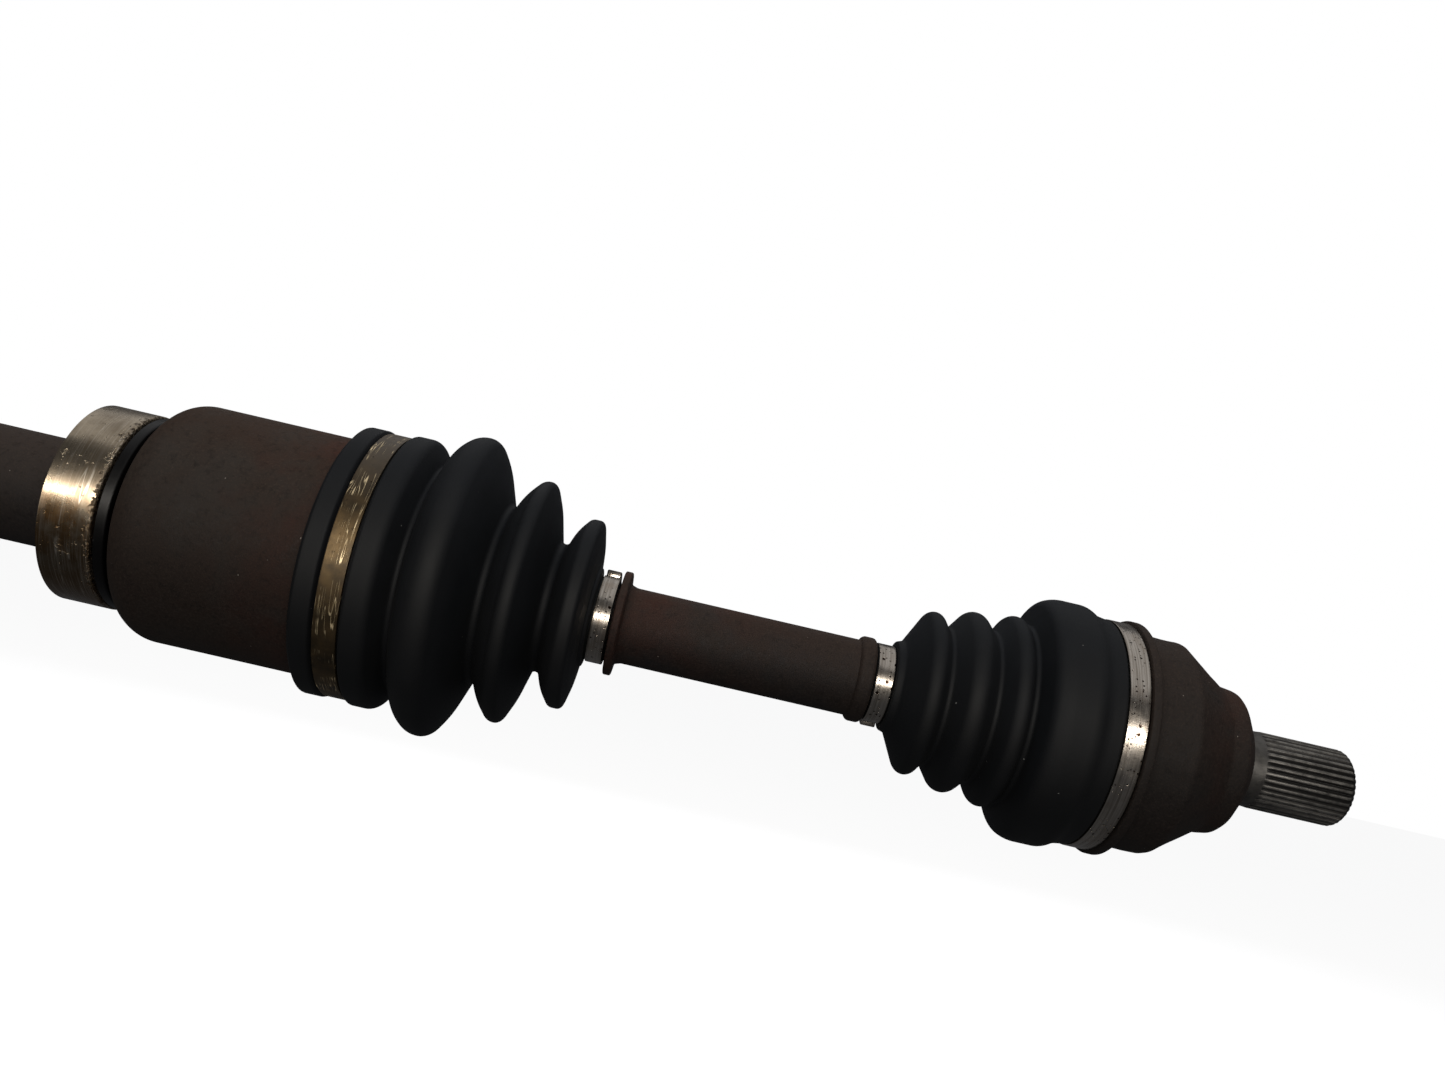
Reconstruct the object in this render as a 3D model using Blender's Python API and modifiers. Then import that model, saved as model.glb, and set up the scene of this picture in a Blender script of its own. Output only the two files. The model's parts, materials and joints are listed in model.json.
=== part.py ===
"""Front drive shaft with a support bearing, a plunging tripod joint and a fixed ball joint.

The shaft lies along X, the wheel end at +X. The origin is the centre of the support bearing.
Sizes are in millimetres and are turned into metres where a mesh is made.
"""

import math

import bmesh
import bpy
from mathutils import Matrix, Vector

MM = 0.001

# Where the two joints bend, along X
INNER_CENTRE = 62.0
OUTER_CENTRE = 356.0

# Support bearing, with the shield beside it
BEARING_WIDTH = 17.0
BEARING_R = 34.0
BEARING_LAND_IN = 24.0
BEARING_LAND_OUT = 30.0
BEARING_BORE_R = 20.0
BEARING_PITCH_R = 27.0
BEARING_BALL_R = 4.3
BEARING_BALLS = 9
SHIELD_R = 33.5

# Intermediate shaft
SHAFT_END = -460.0
SHAFT_R = 19.2
JOURNAL_R = 19.7
SHOULDER_R = 23.0
GEAR_SPLINE_R = 14.0
GEAR_SPLINE_TEETH = 28

# Inner joint: housing, spider and rollers
HOUSING_FACE = 13.5
HOUSING_MOUTH = 96.0
HOUSING_R = 41.4
HOUSING_FILLET = 12.5
TRACK_BACK = 26.5
TRACK_HALF = 16.8
TRACK_R = 34.3
TRACK_CORNER = 7.0
HOUSING_BORE_R = 20.5
SPIDER_HUB_R = 16.0
SPIDER_HALF = 11.0
TRUNNION_R = 7.0
TRUNNION_END = 31.5
ROLLER_PITCH_R = 25.0
ROLLER_R = 15.5
ROLLER_HALF = 5.5
ROLLER_BORE_R = 9.2

# Middle shaft
BAR_SPLINE_R = 10.5
BAR_R = 13.3
COLLAR_R = 18.2
BEAD_R = 14.9

# Outer joint: race, cage, balls and housing
JOINT_PITCH_R = 25.0
JOINT_BALL_R = 7.2
JOINT_BALLS = 6
TRACK_TUBE_R = 9.0
RACE_R = 22.0
RACE_HALF = 10.0
CAGE_IN_R = 22.5
CAGE_OUT_R = 27.2
CAGE_HALF = 10.0
WINDOW_R = 7.5
BELL_SPHERE_R = 27.7
BELL_R = 37.1
BELL_RIM_R = 40.8
STUB_END = 433.0
STUB_R = 13.4
STUB_ROOT_R = 12.5
STUB_TEETH = 36
BOLT_BORE_R = 7.0

WALL = 2.6
GAP = 0.3

for old in list(bpy.data.objects):
    bpy.data.objects.remove(old)


def collection(name, hidden=False):
    made = bpy.data.collections.new(name)
    made.hide_render = hidden
    bpy.context.scene.collection.children.link(made)
    return made


PARTS = collection("drive_shaft")
CUTTERS = collection("cutters", hidden=True)


def material(name, colour, roughness, metallic):
    made = bpy.data.materials.new(name)
    made.use_nodes = True
    shader = made.node_tree.nodes["Principled BSDF"]
    shader.inputs["Base Color"].default_value = (*colour, 1)
    shader.inputs["Roughness"].default_value = roughness
    shader.inputs["Metallic"].default_value = metallic
    return made


BEARING_STEEL = material("bearing_steel", (0.42, 0.38, 0.33), 0.35, 1)
RUSTED_STEEL = material("rusted_steel", (0.045, 0.030, 0.026), 0.75, 0.3)
RUBBER = material("black_rubber", (0.010, 0.011, 0.012), 0.55, 0)
BAND_BRASS = material("yellow_passivated_steel", (0.30, 0.21, 0.10), 0.4, 1)
BAND_STEEL = material("stainless_band", (0.55, 0.51, 0.46), 0.3, 1)
JOINT_STEEL = material("hardened_joint_steel", (0.30, 0.29, 0.28), 0.3, 1)
SPLINE_STEEL = material("dark_spline_steel", (0.07, 0.07, 0.072), 0.5, 0.8)
SPRING_STEEL = material("spring_steel", (0.10, 0.10, 0.11), 0.4, 1)
CAGE_STEEL = material("pressed_cage_steel", (0.33, 0.31, 0.29), 0.4, 1)


def empty(name, x, parent=None):
    """A body's origin, on its joint's axis."""
    made = bpy.data.objects.new(name, None)
    made.empty_display_size = 0.02
    PARTS.objects.link(made)
    made.parent = parent
    made.location.x = x * MM - (parent.matrix_world.translation.x if parent else 0)
    bpy.context.view_layer.update()
    return made


OUTER_RING_BODY = empty("bearing_outer_body", 0)
INTERMEDIATE_BODY = empty("intermediate_body", 0, OUTER_RING_BODY)
BALL_SET_BODY = empty("bearing_ball_body", 0, OUTER_RING_BODY)
PLUNGE_BODY = empty("plunge_body", INNER_CENTRE, INTERMEDIATE_BODY)
ROLLER_BODY = empty("first_roller_body", INNER_CENTRE, PLUNGE_BODY)
MIDDLE_BODY = empty("middle_shaft_body", INNER_CENTRE, ROLLER_BODY)
STEER_BODY = empty("outer_boot_body", OUTER_CENTRE, MIDDLE_BODY)
WHEEL_BODY = empty("wheel_end_body", OUTER_CENTRE, STEER_BODY)
HALF_STEER_BODY = empty("half_steer_body", OUTER_CENTRE, MIDDLE_BODY)
CAGE_BODY = empty("ball_cage_body", OUTER_CENTRE, HALF_STEER_BODY)


def add(name, mesh, parent, turn, paint, at=None, cutter=False):
    """An object of this mesh, turned and then moved to AT, a world position in millimetres."""
    made = bpy.data.objects.new(name, mesh)
    (CUTTERS if cutter else PARTS).objects.link(made)
    if cutter:
        made.hide_render = True
        made.display_type = "WIRE"
    else:
        if not mesh.materials:
            mesh.materials.append(paint)
        made.parent = parent
    where = Vector(at) * MM if at is not None else parent.matrix_world.translation
    made.location = where if cutter else where - parent.matrix_world.translation
    made.rotation_euler = turn
    return made


ALONG_X = (0, math.pi / 2, 0)


def radial(angle):
    """The turn that takes local Z to the direction ANGLE round X from +Z, counted towards -Y."""
    return (angle, 0, 0)


def around(angle, radius, x):
    """A world position at ANGLE round X from +Z, counted towards -Y."""
    return (x, -radius * math.sin(angle), radius * math.cos(angle))


def turned(
    name,
    profile,
    parent,
    paint,
    x=0,
    segments=28,
    closed=False,
    turn=ALONG_X,
    at=None,
    cutter=False,
):
    """A profile of (radius, world X) pairs turned about the X axis, running from +X to -X outside."""
    points = [(r * MM, 0, (h - x) * MM) for r, h in profile]
    edges = [(i, i + 1) for i in range(len(points) - 1)]
    if closed:
        edges.append((len(points) - 1, 0))
    mesh = bpy.data.meshes.new(name)
    mesh.from_pydata(points, edges, [])
    made = add(name, mesh, parent, turn, paint, at if at is not None else (x, 0, 0), cutter)
    screw = made.modifiers.new("turn", "SCREW")
    screw.axis = "Z"
    screw.steps = segments
    screw.render_steps = segments
    screw.use_merge_vertices = True
    screw.merge_threshold = 0.00002
    screw.use_smooth_shade = True
    return made


def cut(target, cutter, operation="DIFFERENCE"):
    boolean = target.modifiers.new(cutter.name, "BOOLEAN")
    boolean.operation = operation
    boolean.solver = "EXACT"
    boolean.object = cutter


def arc(centre, radius, start, end, steps):
    """(radius, x) pairs round CENTRE, an (r, x) pair. The angle is from the radial direction to +X."""
    found = []
    for i in range(steps + 1):
        angle = math.radians(start + (end - start) * i / steps)
        found.append((centre[0] + radius * math.cos(angle), centre[1] + radius * math.sin(angle)))
    return found


def band(name, x0, x1, r0, r1, parent, paint, x=0, segments=28, ease=0.0):
    """A plain ring, its outer edges eased."""
    profile = [(r1 - ease, x1), (r1, x1 - ease), (r1, x0 + ease), (r1 - ease, x0), (r0, x0), (r0, x1)]
    if not ease:
        profile = [(r1, x1), (r1, x0), (r0, x0), (r0, x1)]
    return turned(name, profile, parent, paint, x, segments, closed=True)


def block(name, size, at, turn=(0, 0, 0)):
    """A box cutter or union piece with its SIZE in millimetres."""
    mesh = bpy.data.meshes.new(name)
    shape = bmesh.new()
    bmesh.ops.create_cube(shape, size=1, matrix=Matrix.Diagonal((*[s * MM for s in size], 1)))
    shape.to_mesh(mesh)
    shape.free()
    return add(name, mesh, None, turn, None, at, cutter=True)


def pin(name, radius, length, at, turn, segments=32):
    """A cylinder cutter or union piece, its axis on local Z."""
    mesh = bpy.data.meshes.new(name)
    shape = bmesh.new()
    bmesh.ops.create_cone(
        shape,
        cap_ends=True,
        segments=segments,
        radius1=radius * MM,
        radius2=radius * MM,
        depth=length * MM,
    )
    shape.to_mesh(mesh)
    shape.free()
    return add(name, mesh, None, turn, None, at, cutter=True)


def ball_mesh(name, radius, around_steps, height_steps, paint):
    mesh = bpy.data.meshes.new(name)
    shape = bmesh.new()
    bmesh.ops.create_uvsphere(
        shape, u_segments=around_steps, v_segments=height_steps, radius=radius * MM
    )
    shape.to_mesh(mesh)
    shape.free()
    mesh.shade_smooth()
    mesh.materials.append(paint)
    return mesh


def solid_of(curve, name):
    """A closed mesh cutter from a curve object, which it removes."""
    bpy.context.view_layer.update()
    graph = bpy.context.evaluated_depsgraph_get()
    mesh = bpy.data.meshes.new_from_object(curve.evaluated_get(graph))
    place = curve.matrix_world.copy()
    bpy.data.objects.remove(curve)
    shape = bmesh.new()
    shape.from_mesh(mesh)
    bmesh.ops.remove_doubles(shape, verts=shape.verts, dist=0.000001)
    bmesh.ops.recalc_face_normals(shape, faces=shape.faces)
    shape.to_mesh(mesh)
    shape.free()
    mesh.name = name
    made = bpy.data.objects.new(name, mesh)
    made.hide_render = True
    made.display_type = "WIRE"
    CUTTERS.objects.link(made)
    made.matrix_world = place
    return made


def prism(name, outline, x0, x1):
    """A flat outline of (y, z) pairs drawn out along X."""
    data = bpy.data.curves.new(name, "CURVE")
    data.dimensions = "2D"
    data.fill_mode = "BOTH"
    data.extrude = (x1 - x0) / 2 * MM
    line = data.splines.new("POLY")
    line.points.add(len(outline) - 1)
    for point, (y, z) in zip(line.points, outline):
        point.co = (-z * MM, y * MM, 0, 1)
    line.use_cyclic_u = True
    curve = bpy.data.objects.new(name, data)
    CUTTERS.objects.link(curve)
    curve.rotation_euler = ALONG_X
    curve.location = ((x0 + x1) / 2 * MM, 0, 0)
    return solid_of(curve, name)


def track(name, angle, start, end):
    """A round bar bent round the outer joint's centre, from START to END degrees towards +X."""
    data = bpy.data.curves.new(name, "CURVE")
    data.dimensions = "3D"
    data.bevel_depth = TRACK_TUBE_R * MM
    data.bevel_resolution = 3
    data.use_fill_caps = True
    steps = 7
    line = data.splines.new("POLY")
    line.points.add(steps)
    for i, point in enumerate(line.points):
        turn = math.radians(start + (end - start) * i / steps)
        x = OUTER_CENTRE + JOINT_PITCH_R * math.sin(turn)
        y, z = around(angle, JOINT_PITCH_R * math.cos(turn), 0)[1:]
        point.co = (x * MM, y * MM, z * MM, 1)
    curve = bpy.data.objects.new(name, data)
    CUTTERS.objects.link(curve)
    return solid_of(curve, name)


def teeth(count, tip, root):
    """A spline's outline as (y, z) pairs, one point on each tooth and one between."""
    found = []
    for i in range(2 * count):
        angle = math.pi * i / count
        radius = root if i % 2 else tip
        found.append((radius * math.cos(angle), radius * math.sin(angle)))
    return found


def rounded(corners):
    """(radius, x) points of an outline whose corners are (radius, x, fillet radius, steps)."""
    found = []
    last = len(corners) - 1
    for i, (r, x, fillet, steps) in enumerate(corners):
        here = Vector((r, x))
        if i in (0, last) or not steps:
            found.append((r, x))
            continue
        back = (Vector(corners[i - 1][:2]) - here).normalized()
        ahead = (Vector(corners[i + 1][:2]) - here).normalized()
        half_angle = back.angle(ahead) / 2
        reach = fillet / math.tan(half_angle)
        centre = here + (back + ahead).normalized() * fillet / math.sin(half_angle)
        start, end = here + back * reach - centre, here + ahead * reach - centre
        sweep = start.angle_signed(end)
        for k in range(steps + 1):
            turn = -sweep * k / steps
            c, q = math.cos(turn), math.sin(turn)
            found.append((centre.x + start.x * c - start.y * q, centre.y + start.x * q + start.y * c))
    return found


def clip(name, x0, x1, r0, r1, parent, x, gap, turn=0.0):
    """A round clip with a gap in it, at the angle TURN from +Z."""
    made = band(name, x0, x1, r0, r1, parent, SPRING_STEEL, x, 20)
    middle = around(turn, (r0 + r1) / 2, (x0 + x1) / 2)
    cut(made, block(f"{name}_gap", (x1 - x0 + 2, gap, r1 - r0 + 2), middle, radial(turn)))
    return made


# ---------------------------------------------------------------- support bearing

half = BEARING_WIDTH / 2
groove_r = BEARING_BALL_R + 0.2
outer_groove = arc((BEARING_PITCH_R, 0), groove_r, -41, 41, 4)
turned(
    "bearing_outer_ring",
    [(BEARING_R - 1, half), (BEARING_R, half - 1), (BEARING_R, 1 - half), (BEARING_R - 1, -half)]
    + [(BEARING_LAND_OUT, -half)]
    + outer_groove
    + [(BEARING_LAND_OUT, half)],
    OUTER_RING_BODY,
    BEARING_STEEL,
    segments=36,
    closed=True,
)
turned(
    "bearing_inner_ring",
    [(BEARING_LAND_IN, half)]
    + arc((BEARING_PITCH_R, 0), groove_r, 139, 221, 4)
    + [(BEARING_LAND_IN, -half), (BEARING_BORE_R, -half), (BEARING_BORE_R, half)],
    INTERMEDIATE_BODY,
    BEARING_STEEL,
    segments=28,
    closed=True,
)
bearing_cage = band("bearing_cage", -5.5, 5.5, 25.5, 28.5, BALL_SET_BODY, CAGE_STEEL, 0, 27)
small_ball = ball_mesh("bearing_ball", BEARING_BALL_R, 10, 6, JOINT_STEEL)
for i in range(BEARING_BALLS):
    angle = math.tau * i / BEARING_BALLS
    spot = around(angle, BEARING_PITCH_R, 0)
    add(f"bearing_ball_{i + 1}", small_ball, BALL_SET_BODY, radial(angle), None, spot)
    pocket = pin(f"bearing_pocket_{i + 1}", BEARING_BALL_R + 0.3, 8, spot, radial(angle), 10)
    cut(bearing_cage, pocket)
for side, sign in (("left", -1), ("right", 1)):
    near, far = sorted((sign * 6.1, sign * 7.4))
    band(f"bearing_seal_{side}", near, far, 24.4, 29.7, OUTER_RING_BODY, RUBBER, 0, 28)
clip("bearing_snap_ring", -10.5, -8.9, 18.9, 22.6, INTERMEDIATE_BODY, 0, 5.0)
turned(
    "dust_shield",
    [(SHIELD_R, 12.4), (SHIELD_R, 9.6), (SHIELD_R - 1.4, 9.6), (SHIELD_R - 1.4, 11.0)]
    + [(SHOULDER_R + GAP, 11.0), (SHOULDER_R + GAP, 13.0), (SHIELD_R - 0.6, 13.0)],
    INTERMEDIATE_BODY,
    RUBBER,
    segments=36,
    closed=True,
)

# ---------------------------------------------------------------- intermediate shaft

shaft = turned(
    "intermediate_shaft",
    [(0, 13.2), (SHOULDER_R, 13.2), (SHOULDER_R, 8.8), (JOURNAL_R, 8.8), (JOURNAL_R, -8.6)]
    + [(18.6, -8.6), (18.6, -10.8), (JOURNAL_R, -10.8), (JOURNAL_R, -16)]
    + [(SHAFT_R, -20), (SHAFT_R, -372), (17.5, -378), (17.5, -404), (15, -407), (15, -412)]
    + [(12.6, -414), (12.6, SHAFT_END + 1.5), (11.1, SHAFT_END), (0, SHAFT_END)],
    INTERMEDIATE_BODY,
    RUSTED_STEEL,
    segments=24,
)
gear_teeth = teeth(GEAR_SPLINE_TEETH, GEAR_SPLINE_R, GEAR_SPLINE_R - 1)
cut(shaft, prism("gear_spline", gear_teeth, SHAFT_END + 2, -413), "UNION")

# ---------------------------------------------------------------- inner joint

fillet_centre = (HOUSING_R - HOUSING_FILLET, HOUSING_FACE + HOUSING_FILLET)
tulip = turned(
    "inner_joint_housing",
    [(0, HOUSING_MOUTH), (HOUSING_R - 1, HOUSING_MOUTH), (HOUSING_R, HOUSING_MOUTH - 1)]
    + arc(fillet_centre, HOUSING_FILLET, 0, -90, 6)
    + [(0, HOUSING_FACE)],
    INTERMEDIATE_BODY,
    RUSTED_STEEL,
    segments=28,
)


def track_outline():
    """The three tracks and the bore between them, as (y, z) pairs."""
    found = []
    inner = math.sqrt(HOUSING_BORE_R**2 - TRACK_HALF**2)
    mid_r, mid_t = TRACK_R - TRACK_CORNER, TRACK_HALF - TRACK_CORNER
    for lobe in range(3):
        middle = math.tau * lobe / 3
        side = [(inner, -TRACK_HALF)]
        for i in range(4):
            turn = math.radians(-90 + 30 * i)
            side.append((mid_r + TRACK_CORNER * math.cos(turn), -mid_t + TRACK_CORNER * math.sin(turn)))
        side += [(r, -t) for r, t in reversed(side)]
        for r, t in side:
            found.append(around(middle + math.atan2(t, r), math.hypot(r, t), 0)[1:])
        found.append(around(middle + math.pi / 3, HOUSING_BORE_R, 0)[1:])
    return found


cavity_outline = track_outline()
cut(tulip, prism("track_cavity", cavity_outline, TRACK_BACK, HOUSING_MOUTH + 5))
mouth_relief = [(30.7, HOUSING_MOUTH + 6), (30.7, HOUSING_MOUTH - 2), (19.2, 61.2), (0, 61.2)]
mouth_relief.insert(0, (0, HOUSING_MOUTH + 6))
cut(tulip, turned("mouth_relief", mouth_relief, None, None, segments=32, cutter=True))

hub = band(
    "spider",
    INNER_CENTRE - SPIDER_HALF,
    INNER_CENTRE + SPIDER_HALF,
    BAR_SPLINE_R + GAP,
    SPIDER_HUB_R,
    MIDDLE_BODY,
    JOINT_STEEL,
    INNER_CENTRE,
    28,
    1.0,
)
for i in range(3):
    angle = math.tau * i / 3
    body = ROLLER_BODY if i == 0 else MIDDLE_BODY
    length = TRUNNION_END - 14
    middle = around(angle, 14 + length / 2, INNER_CENTRE)
    cut(hub, pin(f"trunnion_{i + 1}", TRUNNION_R, length, middle, radial(angle), 18), "UNION")
    spot = around(angle, ROLLER_PITCH_R, INNER_CENTRE)
    edge = math.degrees(math.asin(ROLLER_HALF / ROLLER_R))
    crown = arc((0, 0), ROLLER_R, edge, -edge, 4)
    inside = [(ROLLER_BORE_R, -ROLLER_HALF), (ROLLER_BORE_R, ROLLER_HALF)]
    turned(
        f"roller_{i + 1}",
        crown + inside,
        body,
        JOINT_STEEL,
        segments=24,
        closed=True,
        turn=radial(angle),
        at=spot,
    )
    turned(
        f"needle_ring_{i + 1}",
        [(8.9, 5), (8.9, -5), (7.3, -5), (7.3, 5)],
        body,
        CAGE_STEEL,
        segments=16,
        closed=True,
        turn=radial(angle),
        at=spot,
    )
clip("spider_circlip", 49.7, 50.7, 9.1, 12.0, MIDDLE_BODY, INNER_CENTRE, 3.5)

# ---------------------------------------------------------------- middle shaft

turned(
    "axle_bar",
    [(0, 369), (9.5, 369), (BAR_SPLINE_R, 368.2), (BAR_SPLINE_R, 368), (8.8, 368), (8.8, 366.3)]
    + [(BAR_SPLINE_R, 366.3), (BAR_SPLINE_R, 345.6), (11.2, 345.2), (11.2, 276), (10.8, 274)]
    + [(10.8, 264.2), (BEAD_R - 1.4, 263.8), (BEAD_R, 262.6), (BEAD_R, 260.6)]
    + [(BEAD_R - 1.4, 259.3), (BAR_R, 258.9), (BAR_R, 177.4), (COLLAR_R - 0.4, 176.6)]
    + [(COLLAR_R, 176.2), (COLLAR_R, 174.5), (COLLAR_R - 0.4, 174.1), (11.7, 174.1), (11.7, 165)]
    + [(12.4, 163), (12.4, 76), (11.3, 73.6), (11.3, 73.3), (BAR_SPLINE_R, 73.3)]
    + [(BAR_SPLINE_R, 51), (8.8, 51), (8.8, 49.4), (BAR_SPLINE_R, 49.4), (9.7, 48.6), (0, 48.6)],
    MIDDLE_BODY,
    RUSTED_STEEL,
    INNER_CENTRE,
    segments=22,
)

# ---------------------------------------------------------------- inner boot and its clamps

# Corners of the boot's outer skin as (radius, x, fillet radius, fillet steps)
inner_corners = [
    (44.9, 77.4, 0, 0),
    (46.7, 78.6, 0, 0),
    (46.7, 84.4, 0, 0),
    (44.9, 85.3, 0, 0),
    (44.9, 93.8, 0, 0),
    (47.3, 94.6, 1.5, 1),
    (47.3, 101.6, 4.0, 2),
    (38.0, 107.2, 1.0, 1),
    (48.0, 110.6, 3.0, 1),
    (52.2, 115.8, 2.5, 1),
    (52.2, 121.4, 2.5, 1),
    (46.0, 125.4, 3.0, 1),
    (29.0, 131.8, 1.5, 1),
    (37.4, 136.0, 3.0, 1),
    (42.3, 140.4, 2.0, 1),
    (42.3, 143.8, 2.0, 1),
    (35.6, 146.7, 3.0, 1),
    (18.6, 151.3, 1.5, 1),
    (28.2, 156.2, 3.0, 1),
    (33.2, 160.0, 1.2, 1),
    (33.2, 162.4, 1.2, 1),
    (27.0, 164.2, 1.5, 1),
    (17.6, 165.2, 0, 0),
    (17.6, 166.2, 0, 0),
    (14.1, 166.7, 0, 0),
    (14.1, 173.2, 0, 0),
]
inner_folds = [(46, 101.2), (38.6, 107.2), (51, 119.4), (29.6, 131.8), (41, 143), (19.2, 151.3), (29, 160.5)]


def boot_profile(skin, folds, seat_left, left_end, seat_right, right_end):
    """The outer skin, and inside it a wall's thickness in, the folds and the seats at both ends."""
    thinnest = min(seat_left, seat_right) + 0.6
    inside = [(seat_left, skin[0][1]), (seat_left, left_end)]
    inside += [(max(r - WALL, thinnest), x) for r, x in folds if left_end < x < right_end]
    inside += [(seat_right, right_end), (seat_right, skin[-1][1])]
    return skin[::-1] + inside


turned(
    "inner_boot",
    boot_profile(rounded(inner_corners), inner_folds, HOUSING_R + GAP, 96.6, 12.0, 165.0),
    PLUNGE_BODY,
    RUBBER,
    INNER_CENTRE,
    segments=28,
    closed=True,
)


def clamp(name, ring, parent, paint, x, ear_angle, ear_size, segments=28):
    """A band over RING (x from, x to, r from, r to) with the raised ear that was pinched to tighten it."""
    x0, x1, r0, r1 = ring
    made = band(name, x0, x1, r0, r1, parent, paint, x, segments)
    long, high = ear_size
    middle = around(ear_angle, (r0 + 0.25 + r1 + high) / 2, (x0 + x1) / 2)
    size = (x1 - x0 - 0.6, long, r1 + high - r0 - 0.25)
    cut(made, block(f"{name}_ear", size, middle, radial(ear_angle)), "UNION")
    return made


EAR_BACK = math.radians(200)
EAR_TOP = math.radians(-18)
clamp(
    "inner_boot_large_clamp",
    (85.7, 93.4, 45.2, 46.1),
    INTERMEDIATE_BODY,
    BAND_BRASS,
    0,
    EAR_BACK,
    (9, 2.2),
)
clamp(
    "inner_boot_small_clamp",
    (167.2, 173.0, 14.4, 15.2),
    MIDDLE_BODY,
    BAND_STEEL,
    INNER_CENTRE,
    EAR_TOP,
    (7, 2.6),
    22,
)

# ---------------------------------------------------------------- outer joint

race_edge = math.degrees(math.asin(RACE_HALF / RACE_R))
race = turned(
    "inner_race",
    arc((0, OUTER_CENTRE), RACE_R, race_edge, -race_edge, 5)
    + [(BAR_SPLINE_R + GAP, OUTER_CENTRE - RACE_HALF), (BAR_SPLINE_R + GAP, OUTER_CENTRE + RACE_HALF)],
    MIDDLE_BODY,
    JOINT_STEEL,
    OUTER_CENTRE,
    segments=28,
    closed=True,
)
out_edge = math.degrees(math.asin(CAGE_HALF / CAGE_OUT_R))
in_edge = math.degrees(math.asin(CAGE_HALF / CAGE_IN_R))
cage = turned(
    "ball_cage",
    arc((0, OUTER_CENTRE), CAGE_OUT_R, out_edge, -out_edge, 4)
    + arc((0, OUTER_CENTRE), CAGE_IN_R, -in_edge, in_edge, 4),
    CAGE_BODY,
    CAGE_STEEL,
    OUTER_CENTRE,
    segments=30,
    closed=True,
)
bell = turned(
    "outer_joint_housing",
    [(0, STUB_END), (10.2, STUB_END), (12.2, STUB_END - 2), (12.2, 401), (13.2, 400.4), (13.2, 393.8)]
    + [(18.2, 393.8), (21.2, 392.5), (24.2, 389.2), (25.5, 385.0), (26.2, 382.6), (29.8, 376.2)]
    + [(35.6, 368.1), (36.8, 366.2), (BELL_R, 364.4), (BELL_R, 352.0)]
    + [(BELL_RIM_R - 0.5, 351.4), (BELL_RIM_R, 350.4), (BELL_RIM_R, 348.4)]
    + [(36.4, 348.4), (36.4, 339.5), (30.2, 339.5)]
    + arc((0, OUTER_CENTRE), BELL_SPHERE_R, -24, 49, 8)
    + [(0, OUTER_CENTRE + BELL_SPHERE_R * math.sin(math.radians(49)))],
    WHEEL_BODY,
    RUSTED_STEEL,
    OUTER_CENTRE,
    segments=28,
)
large_ball = ball_mesh("joint_ball", JOINT_BALL_R, 14, 8, JOINT_STEEL)
for i in range(JOINT_BALLS):
    # The first ball lies towards -Y, the others on round the joint.
    angle = math.pi / 2 + math.tau * i / JOINT_BALLS
    spot = around(angle, JOINT_PITCH_R, OUTER_CENTRE)
    body = HALF_STEER_BODY if i == 0 else CAGE_BODY
    add(f"joint_ball_{i + 1}", large_ball, body, radial(angle), None, spot)
    cut(cage, pin(f"cage_window_{i + 1}", WINDOW_R, 16, spot, radial(angle), 14))
    cut(race, track(f"race_track_{i + 1}", angle, -50, 50))
    cut(bell, track(f"bell_track_{i + 1}", angle, -66, 40.5))
clip("race_circlip", 366.6, 367.7, 9.1, 12.0, MIDDLE_BODY, OUTER_CENTRE, 3.5)

stub_teeth = teeth(STUB_TEETH, STUB_R, STUB_ROOT_R)
cut(bell, prism("stub_spline", stub_teeth, 401.5, STUB_END - 2.4), "UNION")
bolt_bore = [(0, 440), (BOLT_BORE_R + 7, 440), (BOLT_BORE_R + 1.4, STUB_END + 0.4)]
bolt_bore += [(BOLT_BORE_R, STUB_END - 1.0), (BOLT_BORE_R, 407), (0, 403)]
cut(bell, turned("bolt_bore", bolt_bore, None, None, segments=20, cutter=True))

# ---------------------------------------------------------------- outer boot and its clamps

outer_corners = [
    (12.6, 264.5, 0, 0),
    (12.6, 270.9, 0, 0),
    (15.6, 271.3, 0, 0),
    (16.2, 273.4, 0, 0),
    (31.5, 281.6, 3.3, 3),
    (23.6, 287.4, 1.0, 1),
    (34.2, 295.3, 4.5, 3),
    (25.8, 303.2, 1.0, 1),
    (36.2, 309.4, 3.3, 3),
    (29.5, 314.2, 1.0, 1),
    (40.4, 317.4, 2.5, 1),
    (42.3, 321.6, 4.0, 1),
    (42.3, 331.4, 3.0, 2),
    (40.2, 335.2, 2.0, 1),
    (39.4, 339.2, 0, 0),
    (39.2, 340.4, 0, 0),
    (38.5, 340.7, 0, 0),
    (38.5, 348.1, 0, 0),
]
outer_folds = [(16.5, 273.4), (28.6, 281.6), (24.4, 287.4), (31.7, 295.3), (26.4, 303.2), (33.2, 309.4)]
outer_folds += [(30.2, 314), (42, 324), (42, 331)]
turned(
    "outer_boot",
    boot_profile(rounded(outer_corners), outer_folds, 11.1, 272.0, 36.7, 338.9),
    STEER_BODY,
    RUBBER,
    OUTER_CENTRE,
    segments=28,
    closed=True,
)
clamp(
    "outer_boot_small_clamp",
    (264.7, 270.6, 12.9, 13.7),
    MIDDLE_BODY,
    BAND_STEEL,
    INNER_CENTRE,
    EAR_BACK,
    (6, 1.8),
    22,
)
clamp(
    "outer_boot_large_clamp",
    (341.0, 347.9, 38.8, 39.7),
    WHEEL_BODY,
    BAND_STEEL,
    OUTER_CENTRE,
    EAR_BACK,
    (9, 2.0),
)
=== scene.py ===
# %% [markdown]
# # A front drive shaft
# A drive shaft carries torque from the gearbox to a front wheel. This one is long: an intermediate shaft runs through
# a support bearing, a tripod joint lets the shaft bend and change length, and a ball joint at the wheel end lets it
# steer. The CAD model gives every piece its place. This lesson gives the pieces their fine shapes and their finishes.

import json
import math

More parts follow.
